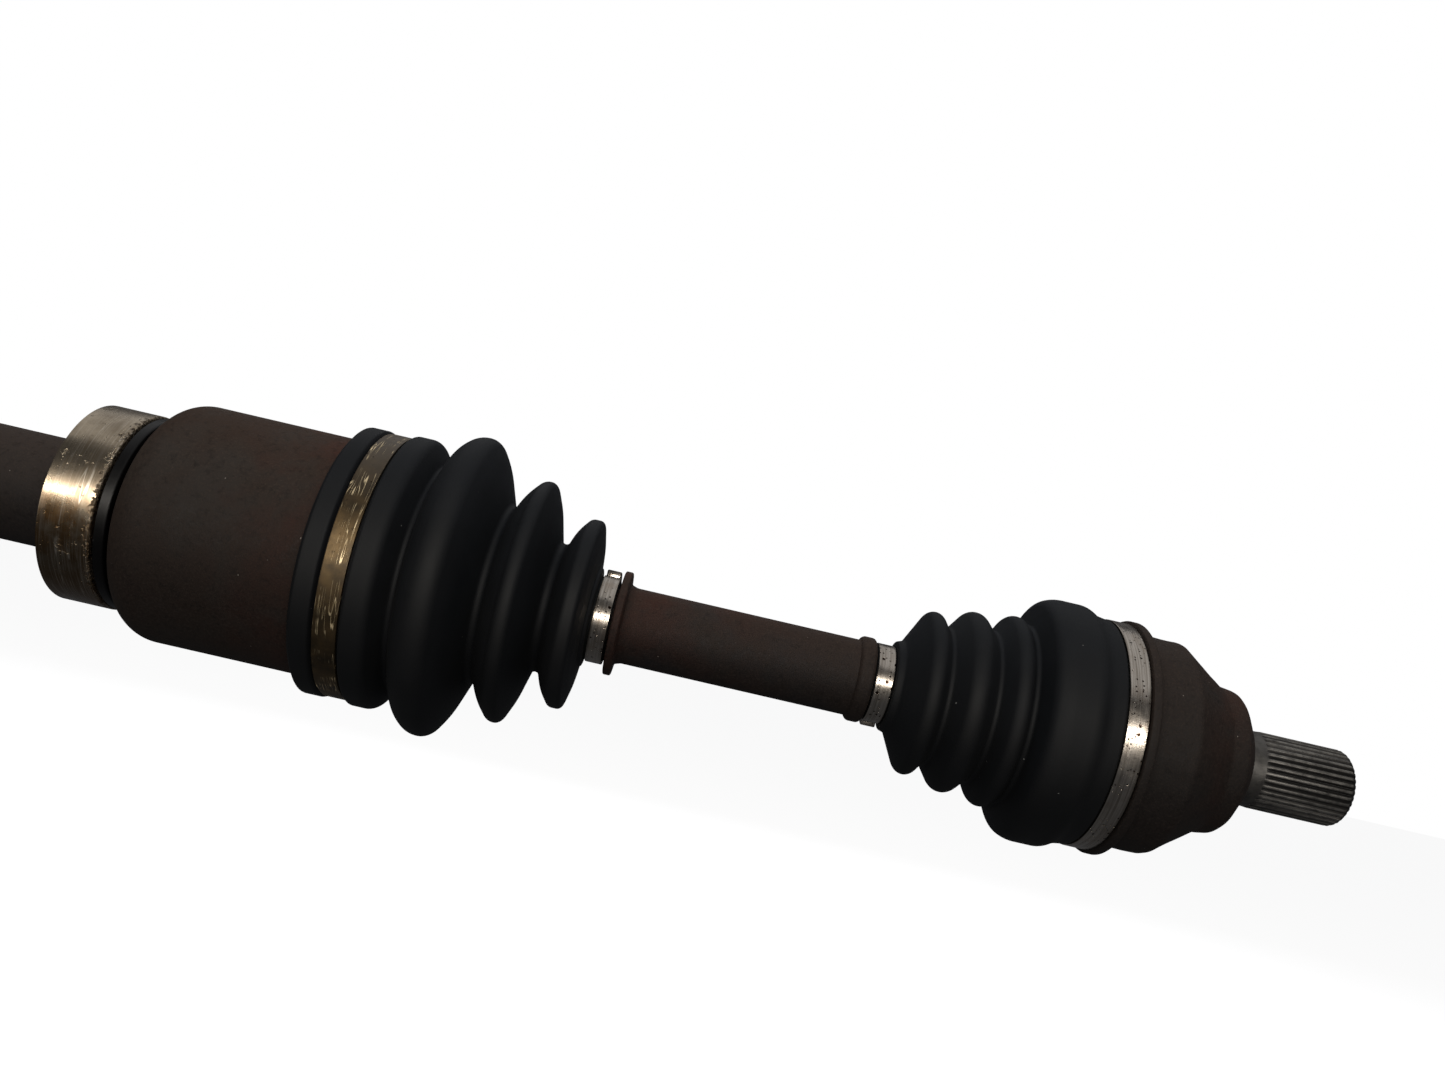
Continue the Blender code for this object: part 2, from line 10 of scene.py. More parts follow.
import bmesh
import bpy
from mathutils import Matrix, Vector
from mathutils.noise import noise as unevenness


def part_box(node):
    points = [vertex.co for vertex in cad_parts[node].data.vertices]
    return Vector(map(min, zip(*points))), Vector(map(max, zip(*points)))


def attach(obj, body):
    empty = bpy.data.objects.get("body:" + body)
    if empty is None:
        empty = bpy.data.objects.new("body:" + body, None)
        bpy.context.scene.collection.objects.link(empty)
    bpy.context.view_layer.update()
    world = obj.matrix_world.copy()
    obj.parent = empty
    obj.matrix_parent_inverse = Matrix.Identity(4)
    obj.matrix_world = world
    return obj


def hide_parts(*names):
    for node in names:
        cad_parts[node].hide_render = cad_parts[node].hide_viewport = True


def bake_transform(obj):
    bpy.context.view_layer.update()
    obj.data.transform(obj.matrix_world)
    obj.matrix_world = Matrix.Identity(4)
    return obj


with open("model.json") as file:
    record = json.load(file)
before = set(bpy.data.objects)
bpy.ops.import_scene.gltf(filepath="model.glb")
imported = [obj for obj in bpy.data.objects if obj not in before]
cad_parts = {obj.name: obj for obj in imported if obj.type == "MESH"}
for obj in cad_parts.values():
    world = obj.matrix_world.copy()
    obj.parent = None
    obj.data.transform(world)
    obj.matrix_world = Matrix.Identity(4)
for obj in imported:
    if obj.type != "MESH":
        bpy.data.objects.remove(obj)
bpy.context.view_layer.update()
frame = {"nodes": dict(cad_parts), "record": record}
MM = 0.001

# %% [markdown]
# ## Camera
# The camera stands beside the middle of the seen stretch, close enough for strong perspective: the ring at the left
# opens towards it and the stub at the right turns away. It is rolled, so the shaft slopes down to the right. Blender's
# camera looks along its own -Z, so its matrix is built from the right, up and backward directions.

# %% Set the camera
IMAGE_WIDTH = 1445
FOCAL_PIXELS = 1175
SENSOR_MM = 36
CAMERA_X, CAMERA_AWAY = 0.2042, 0.4085
TURN, AIM_UP, ROLL = (math.radians(a) for a in (1.0, 4.99, 13.0))

ahead = Vector((math.sin(TURN), math.cos(TURN), 0))
level_right = Vector((math.cos(TURN), -math.sin(TURN), 0))
aim = ahead * math.cos(AIM_UP) + Vector((0, 0, math.sin(AIM_UP)))
level_up = level_right.cross(aim)
right = level_right * math.cos(ROLL) + level_up * math.sin(ROLL)
up = level_up * math.cos(ROLL) - level_right * math.sin(ROLL)

camera_data = bpy.data.cameras.new("camera")
camera_data.sensor_width = SENSOR_MM
camera_data.lens = FOCAL_PIXELS / IMAGE_WIDTH * SENSOR_MM
camera_data.clip_start = 0.01
camera = bpy.data.objects.new("camera", camera_data)
bpy.context.scene.collection.objects.link(camera)
turned_to_view = Matrix((right, up, -aim)).transposed().to_4x4()
camera.matrix_world = Matrix.Translation(Vector((CAMERA_X, 0, 0)) - ahead * CAMERA_AWAY) @ turned_to_view
bpy.context.scene.camera = camera
print(f"lens {camera_data.lens:.1f} mm")

# %% [markdown]
# ## Colours and nodes
# Colours are written as sRGB hex values, as a paint program shows them, and one function turns them to the linear
# values that a shader works in. One more function adds a node with its settings and its links in a single call.

# %% Helpers for materials


def linear(code):
    """The linear colour of an sRGB hex value such as "3a2e2a"."""
    parts = [int(code[i : i + 2], 16) / 255 for i in (0, 2, 4)]
    return (*[v / 12.92 if v <= 0.04045 else ((v + 0.055) / 1.055) ** 2.4 for v in parts], 1.0)


def add_node(tree, kind, inputs=None, **settings):
    """A node of this kind. INPUTS maps a socket's name or number to a value, or to an output to link."""
    node = tree.nodes.new(kind)
    for name, value in settings.items():
        setattr(node, name, value)
    for key, value in (inputs or {}).items():
        if isinstance(value, bpy.types.NodeSocket):
            tree.links.new(value, node.inputs[key])
        else:
            node.inputs[key].default_value = value
    return node


def start_finish(name, roughness, metallic=0.0, specular=0.5):
    """A new material. Returns it, its node tree, its shader and its Object coordinates."""
    made = bpy.data.materials.new(name)
    made.use_nodes = True
    tree = made.node_tree
    shader = tree.nodes.get("Principled BSDF")
    shader.inputs["Roughness"].default_value = roughness
    shader.inputs["Metallic"].default_value = metallic
    shader.inputs["Specular IOR Level"].default_value = specular
    place = add_node(tree, "ShaderNodeTexCoord").outputs["Object"]
    return made, tree, shader, place


def noise(tree, place, size_mm, detail=3.0, stretch=(1, 1, 1), turn=(0, 0, 0), offset=0.0):
    """Noise whose blotches are about SIZE_MM across, longer where STRETCH is small. Its output runs from 0 to 1."""
    moved = add_node(
        tree,
        "ShaderNodeMapping",
        {"Vector": place, "Location": (offset, offset, offset), "Rotation": turn, "Scale": stretch},
    )
    return add_node(
        tree,
        "ShaderNodeTexNoise",
        {"Vector": moved.outputs[0], "Scale": 1 / (size_mm * MM), "Detail": detail, "Roughness": 0.6},
    ).outputs["Fac"]


def ramp(tree, value, low, high, top=1.0):
    """0 where VALUE is below LOW, TOP where it is above HIGH. LOW may be the greater."""
    return add_node(
        tree,
        "ShaderNodeMapRange",
        {"Value": value, "From Min": low, "From Max": high, "To Max": top},
    ).outputs["Result"]


def between(tree, value, low, high):
    """VALUE, which runs from 0 to 1, stretched to run from LOW to HIGH."""
    return add_node(
        tree, "ShaderNodeMapRange", {"Value": value, "To Min": low, "To Max": high}
    ).outputs["Result"]


def mixed(tree, share, first, second):
    """FIRST where SHARE is 0 and SECOND where it is 1. Both are hex colours or outputs."""
    first, second = (linear(c) if isinstance(c, str) else c for c in (first, second))
    return add_node(
        tree, "ShaderNodeMix", {"Factor": share, 6: first, 7: second}, data_type="RGBA"
    ).outputs[2]


def combine(tree, kind, first, second, third=0.0):
    """The Math node of this kind. A kind that takes fewer values doesn't read the rest."""
    values = {0: first, 1: second, 2: third}
    return add_node(tree, "ShaderNodeMath", values, operation=kind).outputs[0]


def spots(tree, place, apart_mm, radius_mm, share, strength=1.0):
    """1 inside uneven round spots. They lie in cells APART_MM wide, and SHARE of the cells hold one."""
    jitter = noise(tree, place, apart_mm / 5, 2)
    cells = add_node(tree, "ShaderNodeTexVoronoi", {"Vector": place, "Scale": 1 / (apart_mm * MM)})
    away = combine(tree, "MULTIPLY_ADD", jitter, 0.12, cells.outputs["Distance"])
    inside = ramp(tree, away, radius_mm / apart_mm + 0.08, radius_mm / apart_mm + 0.04)
    chosen = ramp(tree, axis_value(tree, cells.outputs["Color"], 0), 1 - share, 1.01 - share, strength)
    return combine(tree, "MULTIPLY", inside, chosen)


def axis_value(tree, place, axis):
    """The X, Y or Z of the surface, in metres."""
    return add_node(tree, "ShaderNodeSeparateXYZ", {0: place}).outputs[axis]


def give(tree, shader, colour=None, roughness=None, bumps=(), bump_mm=0.05):
    """Links a colour, a roughness and the sum of the BUMPS to the shader."""
    if colour is not None:
        tree.links.new(colour, shader.inputs["Base Color"])
    if roughness is not None:
        tree.links.new(roughness, shader.inputs["Roughness"])
    height = None
    for bump in bumps:
        height = bump if height is None else combine(tree, "ADD", height, bump)
    if height is not None:
        made = add_node(
            tree, "ShaderNodeBump", {"Height": height, "Distance": bump_mm * MM, "Strength": 1.0}
        )
        tree.links.new(made.outputs[0], shader.inputs["Normal"])


print(f"the sRGB grey 808080 is {linear('808080')[0]:.3f} as linear light")

# %% [markdown]
# ## Rusted forged steel
# The housings and shafts are forged or rolled carbon steel that has rusted under years of road dirt. Even rust is a
# dull oxide and not a metal to the eye, so it isn't metallic. Its colour wanders between plum brown, grey and red over
# a few centimetres, and fine grain covers it. The real grain is about 0.2 mm: it is drawn 0.8 mm coarse so it shows.

# %% Make the rusted finishes


def rusted(name, brown, grey, red, red_from, red_to, roughness=0.75):
    """Rust that turns from BROWN to RED where X runs from RED_FROM to RED_TO, in millimetres."""
    made, tree, shader, place = start_finish(name, roughness, specular=0.14)
    patches = ramp(tree, noise(tree, place, 34, 4), 0.46, 0.66)
    along = ramp(tree, axis_value(tree, place, 0), red_from * MM, red_to * MM)
    reds = ramp(tree, noise(tree, place, 17, 5, offset=0.4), 0.40, 0.62)
    reds = combine(tree, "MULTIPLY", along, reds)
    grain = noise(tree, place, 0.8, 3)
    colour = mixed(tree, patches, brown, grey)
    colour = mixed(tree, reds, colour, red)
    darker = ramp(tree, noise(tree, place, 2.6, 4, offset=0.9), 0.52, 0.70, 0.45)
    colour = mixed(tree, darker, colour, "120d0b")
    colour = mixed(tree, ramp(tree, grain, 0.48, 0.80, 0.30), colour, "594d44")
    colour = mixed(tree, spots(tree, place, 4, 0.18, 0.2, 0.8), colour, "a39a90")
    bumps = [grain, combine(tree, "MULTIPLY", darker, -0.8)]
    give(tree, shader, colour, ramp(tree, grain, -0.6, 0.9), bumps, 0.10)
    return made


HOUSING_RUST = rusted("rusted_forging", "30251f", "322c28", "3a221a", 40, 80)
SHAFT_RUST = rusted("rusted_bar", "2e2521", "2a2728", "38221b", 250, 180)
BELL_RUST = rusted("rusted_ball_joint_forging", "2a2320", "292523", "33211b", 360, 388)
LEFT_RUST = rusted("rusted_intermediate_shaft", "332c29", "2f2b2b", "37281f", -300, -400)
print("rusts:", [m.name for m in (HOUSING_RUST, SHAFT_RUST, BELL_RUST, LEFT_RUST)])

# %% [markdown]
# ## Bearing steel
# The outer ring is ground bearing steel, brushed round its axis. It has browned where water stood on it, and its edge
# beside the black band has corroded in dark pits. Brushed steel is metallic, and its grinding lines run round the
# ring, so the noise that makes them is stretched round X and fine along it.

# %% Make the bearing steel
ring_low, ring_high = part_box("bearing_outer_ring")


def scratches(tree, place, size_mm, turn, offset):
    """Thin straight lines: a long stretched noise is thin where it crosses its middle value."""
    long = noise(tree, place, size_mm, 1, stretch=(1, 0.05, 0.05), turn=turn, offset=offset)
    away = combine(tree, "ABSOLUTE", combine(tree, "SUBTRACT", long, 0.5), 0.0)
    return ramp(tree, away, 0.012, 0.004)


def bearing_steel():
    """Brushed steel, browned below its middle, darkened towards its bottom as painted shade, and pitted at its right
    edge.
    """
    made, tree, shader, place = start_finish("ground_bearing_steel", 0.3, 1.0)
    lines = noise(tree, place, 1.0, 2, stretch=(2.4, 0.06, 0.06))
    blotches = noise(tree, place, 9, 5)
    along = axis_value(tree, place, 0)
    height = axis_value(tree, place, 2)
    colour = mixed(tree, ramp(tree, blotches, 0.38, 0.62), "a99c88", "8a7d6b")
    stains = ramp(tree, noise(tree, place, 6, 5, offset=0.3), 0.30, 0.55)
    brown = combine(tree, "MULTIPLY", ramp(tree, height, 6 * MM, -6 * MM), stains)
    colour = mixed(tree, brown, colour, "7d6141")
    # Painted shade: the ring's lower part is darkened towards its bottom.
    colour = mixed(tree, ramp(tree, height, -6 * MM, -18 * MM, 0.6), colour, "3f372c")
    colour = mixed(tree, ramp(tree, lines, 0.50, 0.75, 0.35), colour, "d8cfc0")
    worn = scratches(tree, place, 2.6, (0, 0.8, 0.3), 0.3)
    worn = combine(tree, "MULTIPLY", worn, ramp(tree, blotches, 0.45, 0.60, 0.6))
    colour = mixed(tree, worn, colour, "e0d8ca")
    edge = ramp(tree, along, ring_high.x - 3.2 * MM, ring_high.x - 0.2 * MM, 0.22)
    pits = ramp(tree, combine(tree, "ADD", noise(tree, place, 1.3, 5, offset=0.7), edge), 0.66, 0.78, 0.85)
    streaks = ramp(tree, noise(tree, place, 3.2, 4, stretch=(0.5, 1, 0.6), offset=0.2), 0.64, 0.70, 0.8)
    pits = combine(tree, "MAXIMUM", pits, streaks)
    colour = mixed(tree, pits, colour, "2c231a")
    dull = combine(tree, "ADD", pits, ramp(tree, blotches, 0.3, 0.7, 0.35))
    roughness = between(tree, dull, 0.20, 0.60)
    give(tree, shader, colour, roughness, [lines, combine(tree, "MULTIPLY", pits, -3.0)], 0.05)
    return made


BEARING_STEEL = bearing_steel()
print(f"{BEARING_STEEL.name}: {len(BEARING_STEEL.node_tree.nodes)} nodes")

# %% [markdown]
# ## Rubber
# The boots are moulded neoprene or thermoplastic rubber, nearly black with a hint of blue, dull but smooth, so a light
# leaves only a broad soft sheen. Road dust lies on them as a few tiny pale specks. The shield beside the bearing is
# the same rubber with a glossier skin.

# %% Make the rubbers


def rubber(name, roughness, black="0d1014", dusty="15181d"):
    """Nearly black rubber with cloudy dust and a few pale specks."""
    made, tree, shader, place = start_finish(name, roughness, specular=0.18)
    cloud = noise(tree, place, 26, 4)
    colour = mixed(tree, ramp(tree, cloud, 0.40, 0.75, 0.6), black, dusty)
    colour = mixed(tree, spots(tree, place, 5, 0.20, 0.15, 0.8), colour, "9c9c9a")
    fine = noise(tree, place, 1.4, 3)
    rough = between(tree, cloud, roughness - 0.08, roughness + 0.12)
    give(tree, shader, colour, rough, [fine], 0.03)
    return made


BOOT_RUBBER = rubber("moulded_boot_rubber", 0.64)
SHIELD_RUBBER = rubber("glossy_shield_rubber", 0.36, "060607", "0b0b0c")
print("rubbers:", BOOT_RUBBER.name, SHIELD_RUBBER.name)

# %% [markdown]
# ## Clamp bands
# Two kinds of band hold the boots. The large one on the tripod joint is steel with a yellow passivated zinc coat,
# which looks like old brass, scratched bright across its middle. The others are bright stainless steel with rust pits
# along their edges. Both are metallic; the strip was rolled, so faint lines run round it.

# %% Make the clamp finishes


def yellow_band():
    """Zinc coated steel like old brass, greyer at its top and pitted there."""
    made, tree, shader, place = start_finish("yellow_passivated_steel", 0.34, 1.0)
    height = axis_value(tree, place, 2)
    colour = mixed(tree, ramp(tree, noise(tree, place, 6, 4), 0.35, 0.65), "564834", "3f372c")
    colour = mixed(tree, ramp(tree, height, 16 * MM, 36 * MM, 0.75), colour, "625a50")
    lines = combine(
        tree,
        "MAXIMUM",
        scratches(tree, place, 1.6, (0, 0.7, 0), 0.1),
        scratches(tree, place, 2.1, (0, -0.5, 0.2), 0.6),
    )
    lines = combine(tree, "MULTIPLY", lines, ramp(tree, noise(tree, place, 9, 2, offset=0.8), 0.45, 0.60))
    colour = mixed(tree, lines, colour, "f0dcb4")
    pits = ramp(tree, noise(tree, place, 1.5, 4, offset=0.5), 0.64, 0.70)
    pits = combine(tree, "MULTIPLY", pits, ramp(tree, height, -4 * MM, 20 * MM, 0.9))
    colour = mixed(tree, pits, colour, "2b2118")
    rough = between(tree, noise(tree, place, 3, 3, offset=0.2), 0.36, 0.62)
    give(tree, shader, colour, rough, [lines, combine(tree, "MULTIPLY", pits, -2.0)], 0.05)
    return made


def stainless_band():
    """Rolled bright steel, with dark rust pits in patches."""
    made, tree, shader, place = start_finish("rolled_stainless_band", 0.2, 1.0)
    rolled = noise(tree, place, 1.2, 2, stretch=(2.0, 0.05, 0.05))
    colour = mixed(tree, ramp(tree, rolled, 0.40, 0.65), "b3aca3", "8c847a")
    colour = mixed(tree, ramp(tree, noise(tree, place, 8, 3), 0.52, 0.72, 0.5), colour, "8b7c6c")
    pits = combine(tree, "MAXIMUM", spots(tree, place, 2.4, 0.55, 0.35), spots(tree, place, 1.1, 0.28, 0.4))
    pits = combine(tree, "MULTIPLY", pits, ramp(tree, noise(tree, place, 8, 2, offset=0.15), 0.40, 0.52))
    colour = mixed(tree, pits, colour, "241912")
    rough = between(tree, noise(tree, place, 4, 3, offset=0.5), 0.14, 0.36)
    give(tree, shader, colour, rough, [rolled, combine(tree, "MULTIPLY", pits, -2.0)], 0.04)
    return made


YELLOW_BAND = yellow_band()
STAINLESS = stainless_band()
print("bands:", YELLOW_BAND.name, STAINLESS.name)

# %% [markdown]
# ## Bare steel
# The splines are cut in hard dark steel whose crests have been rubbed grey. The distance from the shaft's axis tells
# a crest from a root, so it drives the wear on the crests and the painted shade that darkens the roots. The ground,
# hardened and pressed steels are for the pieces inside.

# %% Make the spline and inner steels


def spline_steel(name, root_mm, tip_mm):
    """Dark steel, rubbed grey on the crests, with painted shade that darkens the roots to near black."""
    made, tree, shader, place = start_finish(name, 0.48, 0.5)
    across = {0: place, 1: (0, 1, 1)}
    flat = add_node(tree, "ShaderNodeVectorMath", across, operation="MULTIPLY").outputs[0]
    away = add_node(tree, "ShaderNodeVectorMath", {0: flat}, operation="LENGTH").outputs["Value"]
    worn = ramp(tree, away, (tip_mm - 0.30) * MM, (tip_mm - 0.02) * MM)
    worn = combine(tree, "MULTIPLY", worn, ramp(tree, noise(tree, place, 3, 4), 0.25, 0.60))
    patches = ramp(tree, noise(tree, place, 5, 4, offset=0.4), 0.40, 0.65)
    colour = mixed(tree, patches, "2a2929", "343230")
    # Painted shade: the roots between the teeth are darkened towards black.
    root_shade = ramp(tree, away, (root_mm + 0.4) * MM, root_mm * MM, 0.8)
    colour = mixed(tree, root_shade, colour, "121111")
    colour = mixed(tree, worn, colour, "74726e")
    give(tree, shader, colour, None, [noise(tree, place, 0.7, 2)], 0.03)
    return made


def plain_steel(name, light, dark, roughness, size_mm=5.0):
    """A steel that wanders from LIGHT to DARK, with fine machining marks."""
    made, tree, shader, place = start_finish(name, roughness, 1.0)
    colour = mixed(tree, ramp(tree, noise(tree, place, size_mm, 4), 0.35, 0.70), light, dark)
    give(tree, shader, colour, None, [noise(tree, place, 0.9, 2, stretch=(2.5, 0.3, 0.3))], 0.02)
    return made


HUB_ROOT, HUB_TIP = 12.5, 13.4
GEAR_ROOT, GEAR_TIP = 13.0, 14.0
STUB_STEEL = spline_steel("worn_wheel_spline", HUB_ROOT, HUB_TIP)
GEAR_STEEL = spline_steel("worn_gearbox_spline", GEAR_ROOT, GEAR_TIP)
HARD_STEEL = plain_steel("ground_hardened_steel", "b5b2ad", "8e8b86", 0.22)
CAGE_STEEL = plain_steel("pressed_cage_steel", "a39c92", "7c766e", 0.38)
SPRING_STEEL = plain_steel("blued_spring_steel", "45464a", "2b2c30", 0.35)
print(len(bpy.data.materials), "materials")

# %% [markdown]
# ## Turned pieces
# Nearly every piece here is made on a lathe, so it is an outline spun round the X axis. An outline is a short list of
# corners, each a radius, a place along X and the radius of its fillet, in millimetres. Spin turns the outline into a
# shell, and doubles merge where it touches the axis. A Screw modifier would do the same, but a bmesh can be cut and
# extruded further before it becomes an object.

# %% Helpers for turned pieces


def rounded(corners, step_mm=0.9):
    """(radius, x) points of an outline whose corners are (radius, x) or (radius, x, fillet radius)."""
    found = []
    last = len(corners) - 1
    for i, (r, x, *fillet) in enumerate(corners):
        here = Vector((r, x))
        if i in (0, last) or not fillet:
            found.append(here)
            continue
        back = (Vector(corners[i - 1][:2]) - here).normalized()
        out = (Vector(corners[i + 1][:2]) - here).normalized()
        half = back.angle(out) / 2
        centre = here + (back + out).normalized() * fillet[0] / math.sin(half)
        start = here + back * fillet[0] / math.tan(half) - centre
        sweep = start.angle_signed(here + out * fillet[0] / math.tan(half) - centre)
        steps = max(2, round(abs(sweep) * fillet[0] / step_mm * 2))
        found += [centre + Matrix.Rotation(-sweep * k / steps, 2) @ start for k in range(steps + 1)]
    return found


def finer(outline, step_mm):
    """The outline with points added on its long straight runs, so that it can bend."""
    found = [outline[0]]
    for here, there in zip(outline, outline[1:]):
        count = max(1, math.ceil((there - here).length / step_mm))
        found += [here.lerp(there, (k + 1) / count) for k in range(count)]
    return found


def spun(outline, steps=144, closed=True, keep=None, angle=math.tau):
    """A bmesh of (radius, x) points turned round X. KEEP is the stretch of X to keep of a closed outline."""
    mesh = bmesh.new()
    points = [mesh.verts.new((x * MM, 0, r * MM)) for r, x in outline]
    if closed:
        mesh.faces.new(points)
        for x, side in zip(keep or (), (-1, 1)):
            everything = mesh.verts[:] + mesh.edges[:] + mesh.faces[:]
            bmesh.ops.bisect_plane(
                mesh,
                geom=everything,
                dist=1e-7,
                plane_co=(x * MM, 0, 0),
                plane_no=(side, 0, 0),
                clear_outer=True,
            )
        if angle == math.tau:
            bmesh.ops.delete(mesh, geom=mesh.faces[:], context="FACES_ONLY")
    else:
        for pair in zip(points, points[1:]):
            mesh.edges.new(pair)
    bmesh.ops.spin(
        mesh,
        geom=mesh.verts[:] + mesh.edges[:] + mesh.faces[:],
        cent=(0, 0, 0),
        axis=(1, 0, 0),
        angle=angle,
        steps=steps,
        use_merge=angle == math.tau,
    )
    bmesh.ops.remove_doubles(mesh, verts=mesh.verts[:], dist=1e-6)
    return mesh


def object_of(mesh, name, finish, sharp_degrees=32):
    """The bmesh as a smooth-shaded object, its faces turned outwards."""
    bmesh.ops.recalc_face_normals(mesh, faces=mesh.faces[:])
    data = bpy.data.meshes.new(name)
    mesh.to_mesh(data)
    mesh.free()
    data.shade_smooth()
    data.set_sharp_from_angle(angle=math.radians(sharp_degrees))
    data.materials.append(finish)
    made = bpy.data.objects.new(name, data)
    bpy.context.scene.collection.objects.link(made)
    return made


def fit(piece, body, slot, *nodes):
    """The piece rides on the body and stands for the nodes, which it hides. SLOT is not used."""
    if body:
        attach(piece, body)
    if nodes:
        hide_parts(*nodes)
    return piece


def corners_of(node):
    """Where the CAD node starts and ends along X and how far it reaches from the axis, in millimetres."""
    low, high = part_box(node)
    return low.x / MM, high.x / MM, high.z / MM


print("bearing ring: x from, x to, radius", [round(v, 1) for v in corners_of("bearing_outer_ring")])

# %% [markdown]
# ## The support bearing
# A deep groove ball bearing: two rings, a row of balls between them, and a thin rubber seal at each side. Its outer
# ring is the bright band at the left. The seals are pressed discs with a rib, and the open ends of the rings show
# beside them.

# %% Make the bearing
left, right_side, ring_r = corners_of("bearing_outer_ring")
LAND_R, GROOVE_R = 30.0, 31.5
ring_outline = rounded(
    [(ring_r, 0), (ring_r, right_side, 0.9), (LAND_R + 0.4, right_side, 0.4), (LAND_R, right_side - 1.2)]
    + [(LAND_R, 3.2), (GROOVE_R, 0, 3.6), (LAND_R, -3.2), (LAND_R, left + 1.2), (LAND_R + 0.4, left, 0.4)]
    + [(ring_r, left, 0.9)],
    0.5,
)
ring = object_of(spun(ring_outline), "bearing_outer_ring_fine", BEARING_STEEL)
fit(ring, "bearing_outer", "bearing_steel", "bearing_outer_ring")

inner_left, inner_right, inner_r = corners_of("bearing_inner_ring")
BORE_R = 20.0
inner_outline = rounded(
    [(inner_r, 0), (inner_r, inner_right, 0.4), (BORE_R, inner_right, 0.6), (BORE_R, inner_left, 0.6)]
    + [(inner_r, inner_left, 0.4)],
    0.5,
)
inner_ring = object_of(spun(inner_outline), "bearing_inner_ring_fine", BEARING_STEEL)
fit(inner_ring, "intermediate", "bearing_steel", "bearing_inner_ring")

for side in ("left", "right"):
    x0, x1, seal_r = corners_of(f"bearing_seal_{side}")
    outer_x, inner_x = (x0, x1) if side == "left" else (x1, x0)
    rib = math.copysign(0.35, outer_x)
    seal_outline = rounded(
        [(24.5, inner_x), (24.5, outer_x, 0.3), (25.6, outer_x, 0.2), (26.1, outer_x - rib, 0.3)]
        + [(27.7, outer_x - rib, 0.3), (28.2, outer_x, 0.2), (seal_r, outer_x, 0.3), (seal_r, inner_x)],
        0.3,
    )
    seal = object_of(spun(seal_outline, 96), f"bearing_seal_{side}_fine", SHIELD_RUBBER)
    fit(seal, "bearing_outer", "black_rubber", f"bearing_seal_{side}")

x0, x1, snap_r = corners_of("bearing_snap_ring")
SNAP_BORE_R, SNAP_GAP_DEGREES = 19.0, 15
snap_outline = rounded(
    [(SNAP_BORE_R, x0, 0.2), (snap_r, x0, 0.2), (snap_r, x1, 0.2), (SNAP_BORE_R, x1, 0.2)], 0.3
)
snap = spun(snap_outline, 84, angle=math.radians(360 - SNAP_GAP_DEGREES))
half_gap = Matrix.Rotation(math.radians(SNAP_GAP_DEGREES / 2), 3, "X")
bmesh.ops.rotate(snap, verts=snap.verts[:], cent=(0, 0, 0), matrix=half_gap)
snap_ring = object_of(snap, "bearing_snap_ring_fine", SPRING_STEEL)
fit(snap_ring, "intermediate", "spring_steel", "bearing_snap_ring")

x0, x1, shield_r = corners_of("dust_shield")
shield_outline = rounded(
    [(shield_r, x0 + 1), (shield_r, x1, 1.0), (23.4, x1), (23.4, x0 + 1.5), (shield_r - 1.8, x0 + 1.5, 0.5)]
    + [(shield_r - 1.2, x0, 0.4), (shield_r, x0, 0.5)],
    0.4,
)
shield = object_of(spun(shield_outline), "dust_shield_fine", SHIELD_RUBBER)
fit(shield, "intermediate", "black_rubber", "dust_shield")
print(f"bearing ring {ring_r * 2:.0f} mm across")

# %% [markdown]
# ## Splined shafts
# A spline's teeth run out of a plain shaft and end in a chamfer. The plain shaft is spun with eight points for each
# tooth and left open at its end. Extruding that open edge, ring after ring, grows the teeth: each new ring's points
# are set to a radius between the root and the tip by their angle. Plain rings after the last tooth close the end.

# %% Make the intermediate shaft
POINTS_PER_TOOTH = 8
TOOTH_HEIGHTS = (1.0, 1.0, 0.92, 0.45, 0.0, 0.0, 0.45, 0.92)


def grow(mesh, teeth, rings):
    """Extrudes the open edge of a spun shaft through RINGS of (x, root radius, tip radius), in millimetres."""
    edge = [e for e in mesh.edges if e.is_boundary]
    for x, root, tip in rings:
        grown = bmesh.ops.extrude_edge_only(mesh, edges=edge)["geom"]
        edge = [g for g in grown if isinstance(g, bmesh.types.BMEdge) and g.is_boundary]
        for vert in {v for e in edge for v in e.verts}:
            angle = math.atan2(vert.co.z, vert.co.y)
            step = round(angle / math.tau * teeth * POINTS_PER_TOOTH) % POINTS_PER_TOOTH
            radius = root + (tip - root) * TOOTH_HEIGHTS[step]
            vert.co = (x * MM, radius * math.cos(angle) * MM, radius * math.sin(angle) * MM)
    bmesh.ops.contextual_create(mesh, geom=edge)


shaft_left, shaft_right, shoulder_r = corners_of("intermediate_shaft")
GEAR_TEETH = 28
shaft_outline = rounded(
    [(0, shaft_right), (shoulder_r, shaft_right, 0.4), (shoulder_r, 8.8, 0.4), (19.7, 8.8), (19.7, -8.6)]
    + [(18.7, -8.6), (18.7, -10.8), (19.7, -10.8, 0.3), (19.7, -16, 3), (19.2, -20, 3), (19.2, -372, 3)]
    + [(17.5, -378, 3), (17.5, -404, 0.6), (15, -407, 1), (15, -412.4)],
    0.8,
)
shaft = spun(finer(shaft_outline, 12), GEAR_TEETH * POINTS_PER_TOOTH, closed=False)
end = shaft_left
grow(
    shaft,
    GEAR_TEETH,
    [(-413, 13.2, 13.2), (-415, GEAR_ROOT, GEAR_TIP), (end + 2, GEAR_ROOT, GEAR_TIP)]
    + [(end + 0.6, 12.4, 12.4), (end, 11.6, 11.6)],
)
shaft_piece = object_of(shaft, "intermediate_shaft_fine", LEFT_RUST)


def paint_stretch(piece, finish, low_mm, high_mm):
    """Gives the faces between two places along X another finish."""
    piece.data.materials.append(finish)
    for face in piece.data.polygons:
        if low_mm * MM < face.center.x < high_mm * MM:
            face.material_index = len(piece.data.materials) - 1


